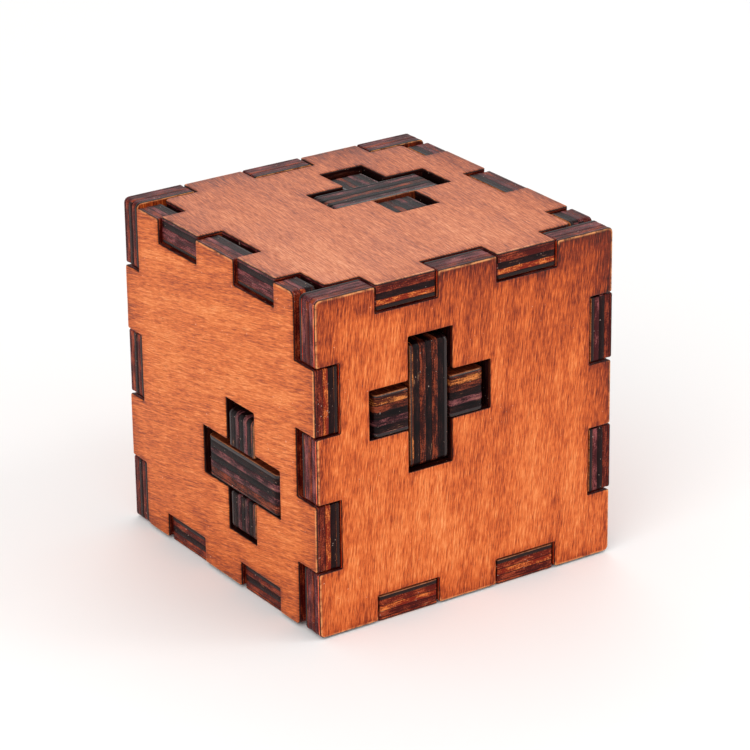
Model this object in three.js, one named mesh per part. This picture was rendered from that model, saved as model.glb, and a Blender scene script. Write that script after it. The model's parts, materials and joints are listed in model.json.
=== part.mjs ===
// A caged board burr: six finger-jointed plywood panels form a cube, and six slotted plywood slats
// cross inside it and show their ends in a cross-shaped window in each face.
// Millimetres, +Z up. The origin is the middle of the underside, and the front faces -Y.
import * as THREE from "three";

// Cube and panels
const CUBE = 80; // outer size, face to face
const HALF = CUBE / 2;
const PANEL_THICKNESS = 6;
const FINGERS = 5; // equal finger cells along each edge; the second and fourth are tabs or notches
const FINGER_PITCH = CUBE / FINGERS;
const TAB_WIDTH = FINGER_PITCH - 0.3;
const NOTCH_WIDTH = FINGER_PITCH + 0.4;
const NOTCH_LEVEL = HALF - PANEL_THICKNESS - 0.5; // distance of a notch's bottom from the cube's centre
const INNER_LEVEL = HALF - PANEL_THICKNESS; // distance of a panel's inner face from the cube's centre

// How far finger ends stand back from the outer faces, and edges from the panel they butt against
const FRONT_TAB_RECESS = 0.3; // tabs and fingers that end at the front or back face
const SIDE_FINGER_RECESS = 0.4; // front and back panels' fingers at the left and right faces
const SIDE_TAB_RECESS = 0.8; // top and bottom panels' tabs at the left and right faces
const FRONT_RAIL_RECESS = 0.3; // front panel's fingers at the top and bottom faces
const TOP_SIDE_FINGER_RECESS = 0.6; // left and right panels' fingers at the top and bottom faces
const SIDE_FRONT_GAP = 2; // left and right panels to the front panel
const SIDE_BACK_GAP = 0.4; // left and right panels to the back panel
const LID_SIDE_GAP = 1.2; // top and bottom panels to the left and right panels
const LID_FRONT_GAP = 0.6; // top and bottom panels to the front and back panels

// Windows and slat pairs, measured from the middle of the cube
const WINDOW_ARM = 11.6;
const WINDOW_SPAN = 32;
const END_WINDOW = { across: -9.9, up: 10.1 };
const SIDE_WINDOW = { back: -9.05, up: -10.6 };
const LID_WINDOW = { across: 11.2, back: 11.05 };
const END_PAIR = { across: -10, up: 9.3 }; // the slats lie low and a little loose in their windows
const SIDE_PAIR = { back: -9.2, up: -11.45 };
const LID_PAIR = { across: 10.5, back: 10.9 };

// Slats
const SLAT_THICKNESS = 9.8;
const SLAT_WIDTH = 29.2;
const SLAT_LENGTH = 79;
const KEY_SLOT_WIDTH = 10.9; // the lap slot along a key slat, for its partner's thickness
const LOCKED_SLOT_WIDTH = 10.4;
const NOTCH_DEPTH = (SLAT_WIDTH - LOCKED_SLOT_WIDTH) / 2; // an edge notch ends level with the slot's side
const CROSSING_GAP = 0.45; // clearance beside a slat in a neighbour's edge notch
const LAP_GAP = 0.4; // end clearance between the webs of a lapped pair
const LOCKED_TRAVEL = 9.5; // how far a locked slat moves before its notch stops on its key

// Where along its length each pair's webs meet: a locked slat's web lies on one side, its key's on
// the other
const END_LAP = 11.5;
const SIDE_LAP = 30;
const LID_LAP = -11;

const X = new THREE.Vector3(1, 0, 0);
const Y = new THREE.Vector3(0, 1, 0);
const Z = new THREE.Vector3(0, 0, 1);
const CENTRE = new THREE.Vector3(0, 0, HALF);

const material = (color, roughness) => new THREE.MeshStandardMaterial({ color, roughness, metalness: 0 });

const FRONT_WOOD = { color: 0xb4511f, roughness: 0.4 };
const SIDE_WOOD = { color: 0xd9743a, roughness: 0.45 };
const LID_WOOD = { color: 0xc97f5c, roughness: 0.5 };
const SLAT_WOOD = { color: 0x4a2a22, roughness: 0.4 };

// A plate cut from sheet: the shape lies in the plane of the axes along and across, and its
// thickness is centred on the given point.
function plate(name, shape, thickness, along, across, centre, wood) {
  const geometry = new THREE.ExtrudeGeometry(shape, { depth: thickness, bevelEnabled: false });
  geometry.translate(0, 0, -thickness / 2);
  const mesh = new THREE.Mesh(geometry, material(wood.color, wood.roughness));
  const through = new THREE.Vector3().crossVectors(along, across);
  mesh.setRotationFromMatrix(new THREE.Matrix4().makeBasis(along, across, through));
  mesh.position.copy(centre);
  mesh.name = name;
  return mesh;
}

// One edge of a panel, walked from -s to +s: it lies at its base level, and steps to the feature
// level at the two feature cells. Levels are distances from the panel's centre.
const edge = (base, feature, width) => ({ base, feature, width });

function edgeSteps({ base, feature, width }) {
  return [-FINGER_PITCH, FINGER_PITCH].flatMap((middle) => [
    [middle - width / 2, base],
    [middle - width / 2, feature],
    [middle + width / 2, feature],
    [middle + width / 2, base],
  ]);
}

function fingeredShape({ low, right, high, left }) {
  const points = [
    [-left.base, -low.base],
    ...edgeSteps(low).map(([s, level]) => [s, -level]),
    [right.base, -low.base],
    ...edgeSteps(right).map(([s, level]) => [level, s]),
    [right.base, high.base],
    ...edgeSteps(high).map(([s, level]) => [-s, level]),
    [-left.base, high.base],
    ...edgeSteps(left).map(([s, level]) => [-level, -s]),
  ];
  return new THREE.Shape(points.map(([x, y]) => new THREE.Vector2(x, y)));
}

// A cross of four equal arms round (u, v).
function crossWindow(u, v) {
  const arm = WINDOW_ARM / 2;
  const tip = WINDOW_SPAN / 2;
  const quarter = [
    [tip, -arm],
    [tip, arm],
    [arm, arm],
  ];
  const turn = ([x, y], times) => (times === 0 ? [x, y] : turn([-y, x], times - 1));
  const points = [0, 1, 2, 3].flatMap((times) => quarter.map((point) => turn(point, times)));
  return new THREE.Path(points.map(([x, y]) => new THREE.Vector2(u + x, v + y)));
}

function panel(name, edges, window, along, across, outward, wood) {
  const shape = fingeredShape(edges);
  shape.holes.push(crossWindow(...window));
  const centre = outward.clone().multiplyScalar(HALF - PANEL_THICKNESS / 2).add(CENTRE);
  return plate(name, shape, PANEL_THICKNESS, along, across, centre, wood);
}

function panels() {
  const endEdge = edge(HALF - SIDE_FINGER_RECESS, NOTCH_LEVEL, NOTCH_WIDTH);
  const frontRail = edge(HALF - FRONT_RAIL_RECESS, NOTCH_LEVEL, NOTCH_WIDTH);
  const frontEdges = { low: frontRail, right: endEdge, high: frontRail, left: endEdge };
  const backRail = edge(HALF, NOTCH_LEVEL, NOTCH_WIDTH);
  const backEdges = { low: backRail, right: endEdge, high: backRail, left: endEdge };

  const sideRail = edge(HALF - TOP_SIDE_FINGER_RECESS, NOTCH_LEVEL, NOTCH_WIDTH);
  const sideFront = edge(INNER_LEVEL - SIDE_FRONT_GAP, HALF - FRONT_TAB_RECESS, TAB_WIDTH);
  const sideBack = edge(INNER_LEVEL - SIDE_BACK_GAP, HALF - FRONT_TAB_RECESS, TAB_WIDTH);
  const sideEdges = { low: sideRail, right: sideBack, high: sideRail, left: sideFront };

  const lidSide = edge(INNER_LEVEL - LID_SIDE_GAP, HALF - SIDE_TAB_RECESS, TAB_WIDTH);
  const lidFront = edge(INNER_LEVEL - LID_FRONT_GAP, HALF - FRONT_TAB_RECESS, TAB_WIDTH);
  const lidEdges = { low: lidFront, right: lidSide, high: lidFront, left: lidSide };

  const endWindow = [END_WINDOW.across, END_WINDOW.up];
  const sideWindow = [SIDE_WINDOW.back, SIDE_WINDOW.up];
  const lidWindow = [LID_WINDOW.across, LID_WINDOW.back];
  return [
    panel("front_panel", frontEdges, endWindow, X, Z, Y.clone().negate(), FRONT_WOOD),
    panel("back_panel", backEdges, endWindow, X, Z, Y, FRONT_WOOD),
    panel("left_panel", sideEdges, sideWindow, Y, Z, X.clone().negate(), SIDE_WOOD),
    panel("right_panel", sideEdges, sideWindow, Y, Z, X, SIDE_WOOD),
    panel("top_panel", lidEdges, lidWindow, X, Y, Z, LID_WOOD),
    panel("bottom_panel", lidEdges, lidWindow, X, Y, Z.clone().negate(), LID_WOOD),
  ];
}

// A slat from start along its length, slotted from one end to the slot's root. A locked slat also
// has a notch in one edge, from notch.from to notch.to, on the side that notch.side gives.
function slatShape({ start, slotFromStart, root, notch }) {
  const end = start + SLAT_LENGTH;
  const edgeLine = SLAT_WIDTH / 2;
  const slot = (notch ? LOCKED_SLOT_WIDTH : KEY_SLOT_WIDTH) / 2;
  const notched = (side) =>
    notch && notch.side === side
      ? [notch.from, notch.to].map((at, i) => {
          const corner = [[at, side * edgeLine], [at, side * (edgeLine - NOTCH_DEPTH)]];
          return i === 0 ? corner : corner.reverse();
        }).flat()
      : [];
  const points = [[start, -edgeLine], ...notched(-1), [end, -edgeLine]];
  if (!slotFromStart) points.push([end, -slot], [root, -slot], [root, slot], [end, slot]);
  points.push([end, edgeLine], ...notched(1).reverse(), [start, edgeLine]);
  if (slotFromStart) points.push([start, slot], [root, slot], [root, -slot], [start, -slot]);
  return new THREE.Shape(points.map(([x, y]) => new THREE.Vector2(x, y)));
}

// A notch for a crossing slat centred at middle, lengthened by the locked travel towards direction.
function travelNotch(middle, direction, side) {
  const reach = SLAT_THICKNESS / 2 + CROSSING_GAP;
  return {
    from: middle - reach - (direction < 0 ? LOCKED_TRAVEL : 0),
    to: middle + reach + (direction > 0 ? LOCKED_TRAVEL : 0),
    side,
  };
}

function slats() {
  const halfLap = LAP_GAP / 2;
  const endAt = [END_PAIR.across, 0, END_PAIR.up];
  const sideAt = [0, SIDE_PAIR.back, SIDE_PAIR.up];
  const lidAt = [LID_PAIR.across, LID_PAIR.back, 0];
  const list = [
    {
      name: "front_locked_slat",
      at: endAt,
      axes: [Y, Z],
      start: -HALF + 0.6,
      root: END_LAP - halfLap,
      notch: travelNotch(SIDE_PAIR.back, 1, -1),
    },
    {
      name: "back_key_slat",
      at: endAt,
      axes: [Y, X],
      start: -HALF + 0.3,
      slotFromStart: true,
      root: END_LAP + halfLap,
    },
    {
      name: "left_locked_slat",
      at: sideAt,
      axes: [X, Y],
      start: -HALF + 0.3,
      root: SIDE_LAP - halfLap,
      notch: travelNotch(LID_PAIR.across, 1, 1),
    },
    {
      name: "right_key_slat",
      at: sideAt,
      axes: [X, Z],
      start: -HALF + 0.2,
      slotFromStart: true,
      root: SIDE_LAP + halfLap,
    },
    {
      name: "top_locked_slat",
      at: lidAt,
      axes: [Z, X],
      start: HALF - 0.4 - SLAT_LENGTH,
      slotFromStart: true,
      root: LID_LAP + halfLap,
      notch: travelNotch(END_PAIR.up, -1, -1),
    },
    {
      name: "bottom_key_slat",
      at: lidAt,
      axes: [Z, Y],
      start: -HALF,
      root: LID_LAP - halfLap,
    },
  ];
  return list.map(({ name, at, axes, ...outline }) => {
    const centre = new THREE.Vector3(...at).add(CENTRE);
    return plate(name, slatShape(outline), SLAT_THICKNESS, axes[0], axes[1], centre, SLAT_WOOD);
  });
}

const puzzle = new THREE.Group();
puzzle.name = "caged_board_burr";
puzzle.add(...panels(), ...slats());

export default puzzle;
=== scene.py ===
"""The looks of a caged board burr: laser-cut plywood, stained and varnished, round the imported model.

Metres, +Z up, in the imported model's frame. Every board of the model is rebuilt from its own outline
with worn rims, rounded corners and ribbed plies, and gets one finish for its faces and two for its
cut edges: one where the cut follows the face's grain, and one where it crosses it. Fingers, tabs,
windows and slots all come from that outline.
"""

import json
import math

import bmesh
import bpy
from mathutils import Matrix, Vector, noise
from mathutils.geometry import delaunay_2d_cdt


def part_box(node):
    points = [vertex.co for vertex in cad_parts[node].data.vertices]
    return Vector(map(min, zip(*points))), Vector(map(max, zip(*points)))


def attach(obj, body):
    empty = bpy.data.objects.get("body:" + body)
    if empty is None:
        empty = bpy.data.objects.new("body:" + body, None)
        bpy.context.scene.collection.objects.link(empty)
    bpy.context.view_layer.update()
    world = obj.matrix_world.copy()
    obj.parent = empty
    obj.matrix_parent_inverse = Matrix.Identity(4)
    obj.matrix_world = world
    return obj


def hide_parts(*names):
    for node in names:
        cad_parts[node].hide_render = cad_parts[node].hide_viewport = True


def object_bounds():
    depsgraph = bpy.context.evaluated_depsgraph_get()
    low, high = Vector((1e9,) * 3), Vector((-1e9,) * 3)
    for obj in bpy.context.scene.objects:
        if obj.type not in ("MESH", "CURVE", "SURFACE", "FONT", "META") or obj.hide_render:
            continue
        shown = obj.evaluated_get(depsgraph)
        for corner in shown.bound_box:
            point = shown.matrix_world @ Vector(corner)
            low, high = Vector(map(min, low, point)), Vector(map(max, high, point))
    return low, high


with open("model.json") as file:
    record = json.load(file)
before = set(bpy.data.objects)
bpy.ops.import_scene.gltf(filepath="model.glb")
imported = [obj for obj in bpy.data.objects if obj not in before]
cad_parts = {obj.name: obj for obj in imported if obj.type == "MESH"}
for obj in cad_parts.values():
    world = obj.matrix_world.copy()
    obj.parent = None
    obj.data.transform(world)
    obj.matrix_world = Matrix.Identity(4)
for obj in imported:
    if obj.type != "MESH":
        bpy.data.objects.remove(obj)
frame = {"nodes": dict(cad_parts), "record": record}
CAD_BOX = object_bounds()
CENTRE = (CAD_BOX[0] + CAD_BOX[1]) / 2
SIDE = CAD_BOX[1].z - CAD_BOX[0].z
MM = 0.001
AXES = [Vector((1, 0, 0)), Vector((0, 1, 0)), Vector((0, 0, 1))]

# Camera, lights and floor
VIEW_AZIMUTH = -33.51
VIEW_ELEVATION = 22.54
VIEW_ROLL = 0.7
VIEW_DISTANCE = 9.945 * SIDE
AIM_RIGHT = 1.8 * MM
LENS_MM = 166.4
SENSOR_MM = 36
CLIP_START = 0.01
WORLD_LIGHT = 0.8
FLOOR_SIZE = 8
FLOOR_GAP = 0.1 * MM
FLOOR_COLOUR = "f8f7f6"
FLOOR_GRAIN = (40, 40, 40)  # per metre

# Softboxes: azimuth and elevation in degrees, distance and size in metres, and power in watts
SOFTBOXES = {
    "key_softbox": (-58, 32, 0.9, 0.8, 3.2),
    "fill_softbox": (35, 22, 1.0, 0.7, 1.4),
    "rim_softbox": (53, 50, 0.9, 0.22, 0.7),
    "back_softbox": (150, 40, 1.0, 0.6, 1.2),
}

# Worn and cut edges of every board
RIM = 0.42 * MM  # rounding of the outer rims
HIDDEN_RIM = 0.2 * MM  # rounding of the rims on the inner faces
RIM_WEAR = 0.35  # how much the rounding varies along a rim
RIM_STEPS = 5
CORNER_ROUND = 0.55 * MM
CUBE_CORNER_ROUND = 1.3 * MM
INNER_CORNER_ROUND = 0.22 * MM
LEAST_ROUND = 0.03 * MM
ARC_STEPS = 4
PITCH = 1.1 * MM  # spacing of points along straight stretches
CUT_ROUGHNESS = 0.03 * MM
PLY_GROOVE = 0.06 * MM
PLY_STEP = 0.035 * MM  # every second ply is charred back by this
GROOVE_HALF = 0.09 * MM
SEAM_HALF = 0.14 * MM
HALO_RINGS = [1.7 * MM, 0.7 * MM, 0.15 * MM]  # rings on a face, the furthest from the rim first
WEAR_SCALE = 160  # per metre
ROUGHNESS_SCALE = 8 * WEAR_SCALE

# Building the meshes
WELD = 0.001 * MM  # corners of the CAD mesh closer than this are one
FACES_OUT = 0.99  # cosine of the tilt below which a face belongs to the outer face
TURNS = 0.1  # sine of the turn above which an outline has a corner
ACROSS_GRAIN = 0.7  # cosine of the angle to the grain above which an edge crosses it
CAP_PRECISION = 0.0001  # mm
IN_LINE = 0.001  # sine of the turn below which three points count as one line

# Boundaries between plies, as shares of the thickness
PANEL_PLIES = [0.15, 0.383, 0.617, 0.85]
SLAT_PLIES = [0.09, 0.25, 0.42, 0.58, 0.75, 0.91]


def colour(code):
    """A linear RGBA colour from a hexadecimal sRGB code."""
    parts = [int(code[i : i + 2], 16) / 255 for i in (0, 2, 4)]
    return [p / 12.92 if p <= 0.04045 else ((p + 0.055) / 1.055) ** 2.4 for p in parts] + [1.0]


# ---------------------------------------------------------------- boards


class Corner:
    """One corner of an outline, with the inward directions of the edges before and after it."""

    def __init__(self, before, point, after):
        self.point = point
        way_in = (point - before).normalized()
        way_out = (after - point).normalized()
        self.inward = [Vector((-way_in.y, way_in.x)), Vector((-way_out.y, way_out.x))]
        self.convex = way_in.cross(way_out) > 0
        self.radius = CORNER_ROUND if self.convex else INNER_CORNER_ROUND


class Board:
    """A CAD node seen as a board: its outline in the plane of two axes, and its thickness."""

    def __init__(self, node, grain, tilt, plies, seed):
        self.node = node
        self.plies = plies
        self.seed = seed
        low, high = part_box(node)
        size = high - low
        through = min(range(3), key=lambda i: size[i])
        side = -1 if (low + high)[through] / 2 < CENTRE[through] - MM else 1
        self.outward = AXES[through] * side
        self.first = AXES[(through + side) % 3]
        self.second = AXES[(through - side) % 3]
        self.thickness = size[through]
        self.top = max(low.dot(self.outward), high.dot(self.outward))
        self.grain = grain
        turn = Matrix.Rotation(math.radians(tilt), 3, self.outward)
        self.along = turn @ grain
        self.across = self.along.cross(self.outward)
        self.outlines = [self.corners(loop) for loop in self.cap_loops()]
        self.round_cube_corners()

    def flat(self, point):
        """A point in space as a point in the board's plane."""
        return Vector((point.dot(self.first), point.dot(self.second)))

    def solid(self, point, depth):
        """A point in the board's plane as a point in space, that deep under the outer face."""
        return self.first * point.x + self.second * point.y + self.outward * (self.top - depth)

    def cap_loops(self):
        """The closed edges of the outer face, with the board on their left, the longest first."""
        mesh = bmesh.new()
        mesh.from_mesh(frame["nodes"][self.node].data)
        bmesh.ops.remove_doubles(mesh, verts=mesh.verts, dist=WELD)
        mesh.normal_update()
        cap = [face for face in mesh.faces if face.normal.dot(self.outward) > FACES_OUT]
        following = {
            loop.vert: loop.link_loop_next.vert
            for face in cap
            for loop in face.loops
            if sum(other in cap for other in loop.edge.link_faces) == 1
        }
        loops = []
        while following:
            vert, after = following.popitem()
            loop = [self.flat(vert.co)]
            while after in following:
                loop.append(self.flat(after.co))
                after = following.pop(after)
            loops.append(loop)
        mesh.free()
        return sorted(loops, key=lambda loop: -max(p.length for p in loop))

    @staticmethod
    def corners(loop):
        """The corners of a closed edge, without the points along its straight stretches."""
        around = [(loop[i - 1], p, loop[(i + 1) % len(loop)]) for i, p in enumerate(loop)]
        turning = [p for a, p, b in around if abs((p - a).normalized().cross((b - p).normalized())) > TURNS]
        ends = turning[1:] + turning[:1]
        return [Corner(turning[i - 1], p, ends[i]) for i, p in enumerate(turning)]

    def round_cube_corners(self):
        """The outline's four extreme corners are rounded more than the fingers' own corners."""
        middle = self.flat(CENTRE)
        for x in (-1, 1):
            for y in (-1, 1):
                reach = Vector((x, y))
                far = max(self.outlines[0], key=lambda c: (c.point - middle).dot(reach))
                far.radius = CUBE_CORNER_ROUND


def ring(corners, inset):
    """An outline moved into its board by inset: points, each with its inward direction."""
    arcs = []
    for corner in corners:
        turn = 1 if corner.convex else -1
        radius = max(corner.radius - turn * inset, LEAST_ROUND)
        centre = corner.point + (corner.inward[0] + corner.inward[1]) * (inset + turn * radius)
        arc = []
        for step in range(ARC_STEPS + 1):
            angle = math.pi / 2 * step / ARC_STEPS
            inward = corner.inward[0] * math.cos(angle) + corner.inward[1] * math.sin(angle)
            arc.append((centre - inward * radius * turn, inward))
        arcs.append(arc)
    samples = []
    for i, arc in enumerate(arcs):
        ahead = (i + 1) % len(corners)
        stretch = (corners[ahead].point - corners[i].point).length
        count = max(1, round(stretch / PITCH))
        start, end = arc[-1][0], arcs[ahead][0][0]
        samples += arc
        samples += [(start.lerp(end, k / count), corners[i].inward[1]) for k in range(1, count)]
    return samples


def stations(board):
    """The rings of a board from the middle of its outer face, over the rim and down the cut edge,
    to the middle of its inner face: (depth, inset, share of the rim's wear, cut distance in mm)."""
    quarter = [math.pi / 2 * step / RIM_STEPS for step in range(RIM_STEPS + 1)]
    rows = [(0, RIM + halo, 0, halo / MM) for halo in HALO_RINGS]
    rows += [
        (RIM * (1 - math.cos(a)), RIM * (1 - math.sin(a)), 1 - math.sin(a), -a / (math.pi / 2))
        for a in quarter
    ]
    for i, share in enumerate(board.plies):
        depth = share * board.thickness
        above, below = (PLY_STEP, 0) if i % 2 else (0, PLY_STEP)
        rows += [
            (depth - GROOVE_HALF, above, 0, -1),
            (depth, PLY_GROOVE, 0, -1),
            (depth + GROOVE_HALF, below, 0, -1),
        ]
    under = board.thickness
    rows += [
        (under - HIDDEN_RIM * (1 - math.cos(a)), HIDDEN_RIM * (1 - math.sin(a)), 0, -a / (math.pi / 2))
        for a in reversed(quarter[::2])
    ]
    rows += [(under, HIDDEN_RIM + halo, 0, halo / MM) for halo in reversed(HALO_RINGS)]
    return rows


def is_cut(row, next_row):
    """Whether the faces between two rings of stations() are on the cut edge."""
    return row[3] <= -1 and next_row[3] <= -1


def winds_round(place, loop):
    """Whether a closed loop of points goes round a place."""
    odd = False
    for (_, a), (_, b) in zip(loop, loop[1:] + loop[:1]):
        if (a.y > place.y) == (b.y > place.y):
            continue
        if place.x < a.x + (b.x - a.x) * (place.y - a.y) / (b.y - a.y):
            odd = not odd
    return odd


def cap_triangles(loops):
    """Triangles between closed loops of numbered points, turning from the first axis to the second."""
    numbers = [number for loop in loops for number, _ in loop]
    places = [place for loop in loops for _, place in loop]
    edges, start = [], 0
    for loop in loops:
        edges += [(start + i, start + (i + 1) % len(loop)) for i in range(len(loop))]
        start += len(loop)
    found, _, triangles, sources, _, _ = delaunay_2d_cdt(places, edges, [], 0, CAP_PRECISION, True)
    kept = []
    for triangle in triangles:
        a, b, c = (found[i] for i in triangle)
        short, middling, _ = sorted(((b - a).length, (c - b).length, (a - c).length))
        in_line = (b - a).cross(c - a) < IN_LINE * short * middling
        if not in_line and sum(winds_round((a + b + c) / 3, loop) for loop in loops) == 1:
            kept.append([numbers[sources[i][0]] for i in triangle])
    return kept


def board_mesh(board):
    """The board's mesh. Material 0 is its faces and rims, 1 the edges cut along the grain and 2 the
    edges cut across it. The attribute cut_distance says how far a point is from the cut, and
    window_wall is 1 on the walls of a window."""
    rows = stations(board)
    drift = Vector((board.seed, -board.seed, board.seed / 2))
    points, distances, window_walls, faces, materials = [], [], [], [], []
    caps = {0: [], len(rows) - 1: []}
    grain = board.flat(board.grain)
    for hole, corners in enumerate(board.outlines):
        base = len(points)
        for index, (depth, inset, wear_share, distance) in enumerate(rows):
            samples = ring(corners, inset)
            count = len(samples)
            if index in caps:
                caps[index].append(range(len(points), len(points) + count))
            for flat, inward in samples:
                place = board.solid(flat, depth)
                wear = noise.noise(place * WEAR_SCALE + drift)
                shift = wear * RIM * RIM_WEAR * wear_share
                if distance <= -1:
                    shift += CUT_ROUGHNESS * (1 + noise.noise(place * ROUGHNESS_SCALE + drift))
                points.append(board.solid(flat + inward * shift, depth))
                distances.append(distance)
                window_walls.append(1.0 if hole else 0.0)
        inwards = [inward for _, inward in ring(corners, 0)]
        for index in range(len(rows) - 1):
            cut = is_cut(rows[index], rows[index + 1])
            here = base + index * count
            below = here + count
            for i, inward in enumerate(inwards):
                j = (i + 1) % count
                faces.append((here + i, below + i, below + j, here + j))
                crosses = abs(inward.dot(grain)) > ACROSS_GRAIN
                materials.append((2 if crosses else 1) if cut else 0)
    for index, loops in caps.items():
        numbered = [[(i, board.flat(points[i] / MM)) for i in loop] for loop in loops]
        for a, b, c in cap_triangles(numbered):
            faces.append((a, b, c) if index == 0 else (a, c, b))
            materials.append(0)
    mesh = bpy.data.meshes.new(board.node + "_board")
    mesh.from_pydata(points, [], faces)
    mesh.polygons.foreach_set("material_index", materials)
    mesh.polygons.foreach_set("use_smooth", [True] * len(faces))
    for name, values in (("cut_distance", distances), ("window_wall", window_walls)):
        mesh.attributes.new(name, "FLOAT", "POINT").data.foreach_set("value", values)
    mesh.validate()
    mesh.update()
    return mesh


# ---------------------------------------------------------------- materials


class Nodes:
    """One material's node tree, built by one call for each node."""

    def __init__(self, name):
        self.material = bpy.data.materials.new(name)
        self.material.use_nodes = True
        self.tree = self.material.node_tree
        self.tree.nodes.clear()

    def plug(self, socket, value):
        """Links a socket to another, or sets it to a plain value."""
        if isinstance(value, bpy.types.NodeSocket):
            self.tree.links.new(value, socket)
        else:
            socket.default_value = value

    def add(self, kind, inputs, **settings):
        node = self.tree.nodes.new("ShaderNode" + kind)
        for name, value in settings.items():
            setattr(node, name, value)
        for name, value in inputs.items():
            self.plug(node.inputs[name], value)
        return node

    def maths(self, operation, *values):
        return self.add("Math", dict(enumerate(values)), operation=operation).outputs[0]

    def dot(self, vector, fixed):
        return self.add("VectorMath", {0: vector, 1: fixed}, operation="DOT_PRODUCT").outputs["Value"]

    def vector(self, x, y, z):
        return self.add("CombineXYZ", {0: x, 1: y, 2: z}).outputs[0]

    def noise(self, vector, detail=3.0, roughness=0.5, distortion=0.0):
        inputs = {
            "Vector": vector,
            "Scale": 1.0,
            "Detail": detail,
            "Roughness": roughness,
            "Distortion": distortion,
        }
        return self.add("TexNoise", inputs).outputs["Fac"]

    def remap(self, value, low, high, to_low=0.0, to_high=1.0):
        """A value eased from one range into another, and held at its ends."""
        inputs = {0: value, 1: low, 2: high, 3: to_low, 4: to_high}
        return self.add("MapRange", inputs, interpolation_type="SMOOTHSTEP").outputs[0]

    def ramp(self, value, stops):
        """A colour from stops of (place, colour)."""
        node = self.add("ValToRGB", {"Fac": value})
        elements = node.color_ramp.elements
        while len(elements) < len(stops):
            elements.new(1.0)
        for element, (at, shade) in zip(elements, stops):
            element.position = at
            element.color = shade
        return node.outputs["Color"]

    def mix(self, factor, a, b):
        node = self.add("Mix", {}, data_type="RGBA")
        for index, value in ((0, factor), (6, a), (7, b)):
            self.plug(node.inputs[index], value)
        return node.outputs[2]

    def sum(self, *terms):
        """The sum of (weight, value, middle) terms, each weight times the value's departure."""
        total = 0.0
        for weight, value, middle in terms:
            total = self.maths("MULTIPLY_ADD", value, weight, self.offset(total, -weight * middle))
        return total

    def offset(self, value, amount):
        if isinstance(value, float):
            return value + amount
        return self.maths("ADD", value, amount)

    def finish(self, shader):
        self.add("OutputMaterial", {"Surface": shader.outputs[0]})
        return self.material


class BoardNodes(Nodes):
    """Node tree with a board's own coordinates in millimetres: across and along the grain, and depth."""

    def __init__(self, board, kind):
        super().__init__(board.node + "_" + kind)
        place = self.add("TexCoord", {}).outputs["Object"]
        self.place = self.add("VectorMath", {0: place, 1: -CENTRE}, operation="ADD").outputs[0]
        self.across = self.dot(self.place, board.across / MM)
        self.along = self.dot(self.place, board.along / MM)
        top = board.top - CENTRE.dot(board.outward)
        self.depth = self.maths("SUBTRACT", top / MM, self.dot(self.place, board.outward / MM))
        self.seed = board.seed

    def reach(self, axis):
        """How far a point lies from the cube's centre along an axis, as a share of half its side."""
        return self.maths("ABSOLUTE", self.dot(self.place, axis * 2 / SIDE))

    def stretched(self, flat_scale, depth_scale):
        """Coordinates scaled alike in the board's plane and otherwise through it."""
        x = self.maths("MULTIPLY", self.across, flat_scale)
        y = self.maths("MULTIPLY", self.along, flat_scale)
        return self.vector(x, y, self.maths("MULTIPLY_ADD", self.depth, depth_scale, self.seed * 3.7))

    def speckle(self, scale, detail=1.0):
        """Noise that is alike in all directions."""
        return self.noise(self.stretched(scale, scale), detail, 0.6)

    def fibres(self, across_scale, along_scale, shift, detail=3.0, roughness=0.5, distortion=0.0):
        """Noise drawn out along the grain."""
        x = self.maths("MULTIPLY", self.across, across_scale)
        y = self.maths("MULTIPLY", self.along, along_scale)
        return self.noise(self.vector(x, y, self.seed * 7.3 + shift), detail, roughness, distortion)


# Factors on the red, green and blue of charred edges, and the power they have on the streaks there
PANEL_CHAR = (2.6, 1.15, 1.25)
SLAT_CHAR = (1.0, 0.95, 1.15)
STREAK_POWER = 0.2

CHAR = "1c0a0a"
DUST_AND_SPARKLE = "f0c0a0"
GLINT = "f0b080"
WINDOW_SHADE = "0e0404"
SPECK_AND_SPARKLE = "d8b8a8"
SEAM = "080203"


class Tone:
    """A stain: its shades from dark to light and how light it is; a gradient across the face that makes it
    lighter towards one side, and by how much at most; how cloudy the stain is, how thick its varnish is,
    and its factors on the char's colour."""

    def __init__(
        self, shades, level, lighter=(0, 0, 0), most=1.0, cloudy=0.4, varnish=0.08, char=PANEL_CHAR
    ):
        self.shades = [colour(shade) for shade in shades]
        self.level = level
        self.lighter = Vector(lighter)
        self.most = most
        self.cloudy = cloudy
        self.varnish = varnish
        self.char = char


FRONT_TONE = Tone(["2c0803", "7c260a", "ca5a22", "e47a3c", "f4a466"], 0.57, (-0.10, 0, -0.17), 0, 0.45)
SIDE_TONE = Tone(["3a1004", "903810", "ca6024", "de7838", "f29e62"], 0.565, (0, 0, 0.06), 0.01, 0.40)
LID_TONE = Tone(["3c140a", "8a3c20", "c0663c", "d47c50", "eca277"], 0.52, (-0.04, -0.09, 0), 0.13, 0.34)
SLAT_TONE = Tone(["240a05", "5e200e", "964422", "b05c32", "cc8050"], 0.46, varnish=0.5, char=SLAT_CHAR)

SHADE_STOPS = (0.0, 0.27, 0.5, 0.66, 0.95)  # where a stain's shades lie, from dark to light


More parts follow.
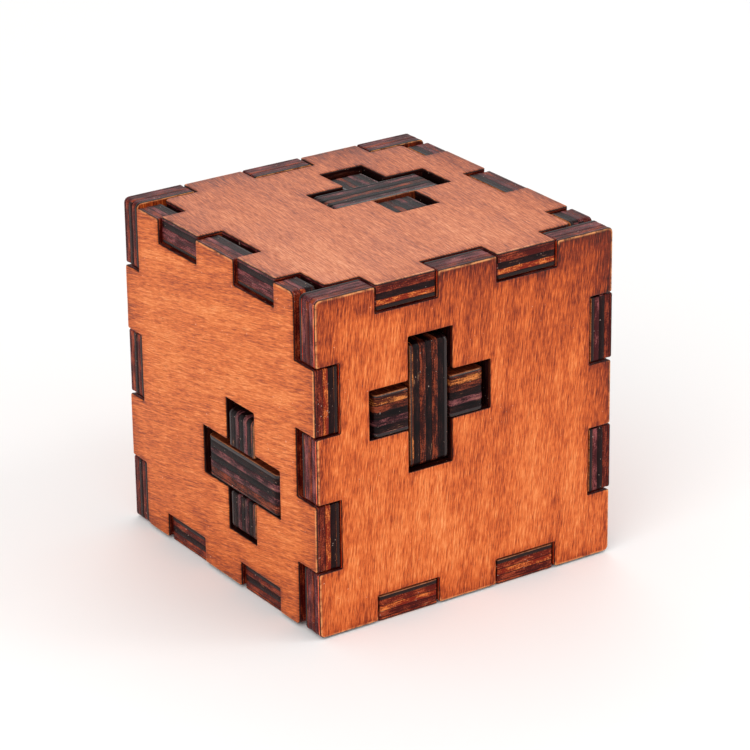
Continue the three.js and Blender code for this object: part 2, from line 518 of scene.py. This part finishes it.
def face_finish(board, tone):
    """Stained veneer: fibres, pores, cloudy stain, a scorched line at the cut and a rim painted lighter,
    partly wear and partly painted highlight.
    """
    n = BoardNodes(board, "face")
    fibres = n.fibres(2.3, 0.13, 0, 5.0, 0.7, 0.05)
    hairs = n.fibres(4.6, 0.36, 11, 3.0, 0.65)
    flecks = n.fibres(3.6, 0.24, 23, 2.0, 0.5)
    ripples = n.fibres(0.5, 0.75, 31, 3.0, 0.6, 0.4)
    clouds = n.fibres(0.075, 0.045, 43, 3.0, 0.55, 0.8)
    bands = n.fibres(0.25, 0.012, 57, 3.0, 0.6)
    # The face is made lighter towards one side by a gradient, by tone.most at most.
    slope = n.maths("MINIMUM", n.dot(n.place, tone.lighter / (SIDE / 2)), tone.most)
    cut = n.add("Attribute", {}, attribute_name="cut_distance").outputs["Fac"]
    ragged = n.maths("ADD", cut, n.maths("MULTIPLY", n.maths("SUBTRACT", ripples, 0.5), 1.6))
    scorched = n.remap(ragged, 1.7, -0.2)
    outer = n.maths("MAXIMUM", n.reach(board.first), n.reach(board.second))
    border = n.remap(n.maths("MULTIPLY_ADD", n.maths("SUBTRACT", clouds, 0.5), 0.5, outer), 0.74, 1.0)
    level = n.sum(
        (0.85, fibres, 0.5),
        (1.05, hairs, 0.5),
        (0.14, ripples, 0.5),
        (tone.cloudy, clouds, 0.5),
        (0.35, bands, 0.5),
        (1.0, slope, 0.0),
        (-0.09, scorched, 0.0),
        (-0.14, border, 0.0),
    )
    level = n.offset(level, tone.level)
    shade = n.ramp(level, list(zip(SHADE_STOPS, tone.shades)))
    pores = n.remap(flecks, 0.62, 0.70)
    shade = n.mix(n.maths("MULTIPLY", pores, 0.6), shade, tone.shades[1])
    # The outermost rims are painted lighter: partly wear of the stain, partly a painted highlight along the
    # rim.
    wear_and_highlight = n.maths("MULTIPLY", n.remap(cut, 0.3, -0.2), n.remap(outer, 0.955, 0.985))
    wear_and_highlight = n.maths("MULTIPLY", wear_and_highlight, n.remap(ripples, 0.35, 0.6, 0.15, 0.75))
    shade = n.mix(wear_and_highlight, shade, tone.shades[4])
    burnt = n.remap(n.maths("ADD", cut, n.maths("MULTIPLY", hairs, 0.5)), 0.05, -0.45)
    shade = n.mix(burnt, shade, colour(CHAR))
    # Light specks on the faces: partly dust, partly painted sparkle of the varnish.
    dust_and_sparkle = n.remap(n.speckle(1.4), 0.76, 0.8)
    shade = n.mix(n.maths("MULTIPLY", dust_and_sparkle, 0.5), shade, colour(DUST_AND_SPARKLE))
    height = n.sum((0.5, fibres, 0.5), (0.35, hairs, 0.5), (-0.6, pores, 0.0), (0.25, ripples, 0.5))
    bump = n.add("Bump", {"Strength": 1.0, "Distance": 0.03 * MM, "Height": height})
    rough = n.sum((0.25, fibres, 0.5), (0.2, clouds, 0.5), (0.1, pores, 0.0))
    shader = n.add(
        "BsdfPrincipled",
        {
            "Base Color": shade,
            "Roughness": n.offset(rough, 0.46),
            "Specular IOR Level": 0.16,
            "Coat Weight": tone.varnish,
            "Coat Roughness": 0.18,
            "Normal": bump.outputs[0],
        },
    )
    return n.finish(shader)


# Each ply of a cut edge by a letter: its ground and its streaks
PLY_SHADES = {
    "d": ("0a0304", "28100f"),
    "p": ("260d10", "7e4646"),
    "r": ("2c0c08", "8a3c22"),
    "h": ("3a1208", "a24e2a"),
    "g": ("4e1c0a", "d07a3a"),
    "o": ("8a3814", "ea8c52"),
}


def ply_stops(board, tone, letters, streak):
    """Ramp stops with each ply's ground or streak colour and dark seams, by share of the thickness."""
    half = SEAM_HALF / board.thickness
    stains = [factor ** (STREAK_POWER if streak else 1) for factor in tone.char] + [1]
    shades = [[a * b for a, b in zip(colour(PLY_SHADES[letter][streak]), stains)] for letter in letters]
    stops = [(0.0, shades[0])]
    for at, above, below in zip(board.plies, shades, shades[1:]):
        stops += [(at - half, above), (at, colour(SEAM)), (at + half, below)]
    return stops


def cut_finish(board, tone, letters, name):
    """A laser-cut edge: charred plies in bands, with streaks along them where the char is thin, and painted
    shade on the walls of windows.
    """
    n = BoardNodes(board, name)
    wander = n.noise(n.stretched(0.2, 0.0), 2.0)
    streaks = n.noise(n.stretched(0.34, 4.6), 5.0, 0.7, 0.15)
    patches = n.noise(n.stretched(0.22, 0.5), 2.0)
    grit = n.speckle(3.1, 3.0)
    share = n.maths("DIVIDE", n.depth, board.thickness / MM)
    share = n.maths("MULTIPLY_ADD", n.maths("SUBTRACT", wander, 0.5), 0.05, share)
    ground = n.ramp(share, ply_stops(board, tone, letters, 0))
    streak = n.ramp(share, ply_stops(board, tone, letters, 1))
    bare = n.sum((1.0, streaks, 0.0), (0.6, grit, 0.5), (0.7, patches, 0.5))
    shade = n.mix(n.remap(bare, 0.44, 0.68), ground, streak)
    glints = n.remap(n.sum((1.0, streaks, 0.0), (0.5, patches, 0.5)), 0.68, 0.76)
    shade = n.mix(n.maths("MULTIPLY", glints, 0.4), shade, colour(GLINT))
    # Painted shade: the walls of the windows are darkened nearly to black, where shade falls inside them.
    walls = n.add("Attribute", {}, attribute_name="window_wall").outputs["Fac"]
    shade = n.mix(n.maths("MULTIPLY", walls, 0.88), shade, colour(WINDOW_SHADE))
    # Light specks on the cut: partly dust, partly painted sparkle of the glossy resin.
    specks_and_sparkle = n.remap(n.speckle(1.7), 0.74, 0.78)
    shade = n.mix(n.maths("MULTIPLY", specks_and_sparkle, 0.5), shade, colour(SPECK_AND_SPARKLE))
    height = n.sum((0.8, streaks, 0.5), (0.5, grit, 0.5))
    bump = n.add("Bump", {"Strength": 1.0, "Distance": 0.08 * MM, "Height": height})
    rough = n.offset(n.sum((0.5, grit, 0.5), (0.3, streaks, 0.5)), 0.40)
    shader = n.add(
        "BsdfPrincipled",
        {
            "Base Color": shade,
            "Roughness": rough,
            "Specular IOR Level": 0.07,
            "Coat Weight": 0.06,
            "Coat Roughness": 0.12,
            "Normal": bump.outputs[0],
        },
    )
    return n.finish(shader)


# ---------------------------------------------------------------- pieces

# Grain, its tilt in degrees, stain, material slot, and the plies of the edges that follow the grain
# and of those that cross it, the outermost ply first
PANELS = {
    "front_panel": (AXES[2], -6, FRONT_TONE, "end_panel_ply", "oprpo", "prppr"),
    "back_panel": (AXES[2], -2, FRONT_TONE, "end_panel_ply", "prdrp", "pprpp"),
    "left_panel": (AXES[1], 11, SIDE_TONE, "side_panel_ply", "prpdp", "rrgdg"),
    "right_panel": (AXES[1], 5, SIDE_TONE, "side_panel_ply", "prpdp", "rrdpg"),
    "top_panel": (AXES[1], -6, LID_TONE, "lid_panel_ply", "pdppo", "rrdgd"),
    "bottom_panel": (AXES[0], 2, LID_TONE, "lid_panel_ply", "hrghg", "hrdrp"),
}

# Grain, and the plies of every edge, the outermost ply first
SLATS = {
    "front_locked_slat": (AXES[1], "gdrdrdd"),
    "back_key_slat": (AXES[1], "rgrdpdp"),
    "left_locked_slat": (AXES[0], "rrpdpdp"),
    "right_key_slat": (AXES[0], "rdpdpdp"),
    "top_locked_slat": (AXES[2], "dpdrdpd"),
    "bottom_key_slat": (AXES[2], "pdpdrdp"),
}
SLAT_TILT = 1

BODIES = frame["record"]["behaviour"]["bodies"]
BODY_OF = {node: body for body, nodes in BODIES.items() for node in nodes}


def make_piece(board, tone, along_plies, across_plies):
    piece = bpy.data.objects.new(board.node + "_board", board_mesh(board))
    bpy.context.scene.collection.objects.link(piece)
    piece.data.materials.append(face_finish(board, tone))
    piece.data.materials.append(cut_finish(board, tone, along_plies, "cut_along"))
    piece.data.materials.append(cut_finish(board, tone, across_plies, "cut_across"))
    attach(piece, BODY_OF[board.node])
    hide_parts(board.node)


def make_pieces():
    for seed, (node, (grain, tilt, tone, slot, along, across)) in enumerate(PANELS.items()):
        make_piece(Board(node, grain, tilt, PANEL_PLIES, seed), tone, along, across)
    for seed, (node, (grain, plies)) in enumerate(SLATS.items(), start=len(PANELS)):
        board = Board(node, grain, SLAT_TILT, SLAT_PLIES, seed)
        make_piece(board, SLAT_TONE, plies, plies)


# ---------------------------------------------------------------- studio


def toward(azimuth, elevation):
    """The direction from the object to a point seen at that azimuth, 0 in front and 90 on the right."""
    a, e = math.radians(azimuth), math.radians(elevation)
    return Vector((math.sin(a) * math.cos(e), -math.cos(a) * math.cos(e), math.sin(e)))


def aimed(place, target, roll=0.0):
    """The matrix of a camera or light at a place, pointed at a target."""
    turn = (target - place).to_track_quat("-Z", "Y").to_matrix().to_4x4()
    return Matrix.Translation(place) @ turn @ Matrix.Rotation(math.radians(roll), 4, "Z")


def make_camera():
    data = bpy.data.cameras.new("camera")
    data.lens = LENS_MM
    data.sensor_width = SENSOR_MM
    data.clip_start = CLIP_START
    camera = bpy.data.objects.new("camera", data)
    bpy.context.scene.collection.objects.link(camera)
    back = toward(VIEW_AZIMUTH, VIEW_ELEVATION)
    right = AXES[2].cross(back).normalized()
    camera.matrix_world = aimed(CENTRE + back * VIEW_DISTANCE, CENTRE + right * AIM_RIGHT, -VIEW_ROLL)
    bpy.context.scene.camera = camera


def make_softbox(name, azimuth, elevation, distance, size, power):
    data = bpy.data.lights.new(name, "AREA")
    data.shape = "DISK"
    data.size = size
    data.energy = power
    light = bpy.data.objects.new(name, data)
    bpy.context.scene.collection.objects.link(light)
    light.matrix_world = aimed(CENTRE + toward(azimuth, elevation) * distance, CENTRE)


def make_world():
    world = bpy.data.worlds.new("studio")
    world.use_nodes = True
    background = world.node_tree.nodes["Background"]
    background.inputs["Color"].default_value = (1, 1, 1, 1)
    background.inputs["Strength"].default_value = WORLD_LIGHT
    bpy.context.scene.world = world


def make_floor():
    n = Nodes("floor_paper")
    place = n.add("TexCoord", {}).outputs["Object"]
    scaled = n.add("VectorMath", {0: place, 1: FLOOR_GRAIN}, operation="MULTIPLY").outputs[0]
    mottle = n.noise(scaled)
    shader = n.add(
        "BsdfPrincipled",
        {
            "Base Color": colour(FLOOR_COLOUR),
            "Roughness": n.remap(mottle, 0.3, 0.7, 0.75, 0.9),
            "Specular IOR Level": 0.1,
        },
    )
    mesh = bpy.data.meshes.new("floor")
    half = FLOOR_SIZE / 2
    mesh.from_pydata(
        [(-half, -half, 0), (half, -half, 0), (half, half, 0), (-half, half, 0)], [], [(0, 1, 2, 3)]
    )
    mesh.materials.append(n.finish(shader))
    floor = bpy.data.objects.new("floor", mesh)
    floor.location.z = CAD_BOX[0].z - FLOOR_GAP
    bpy.context.scene.collection.objects.link(floor)


make_pieces()
make_floor()
make_world()
for name, settings in SOFTBOXES.items():
    make_softbox(name, *settings)
make_camera()
bpy.context.scene.view_settings.view_transform = "Standard"
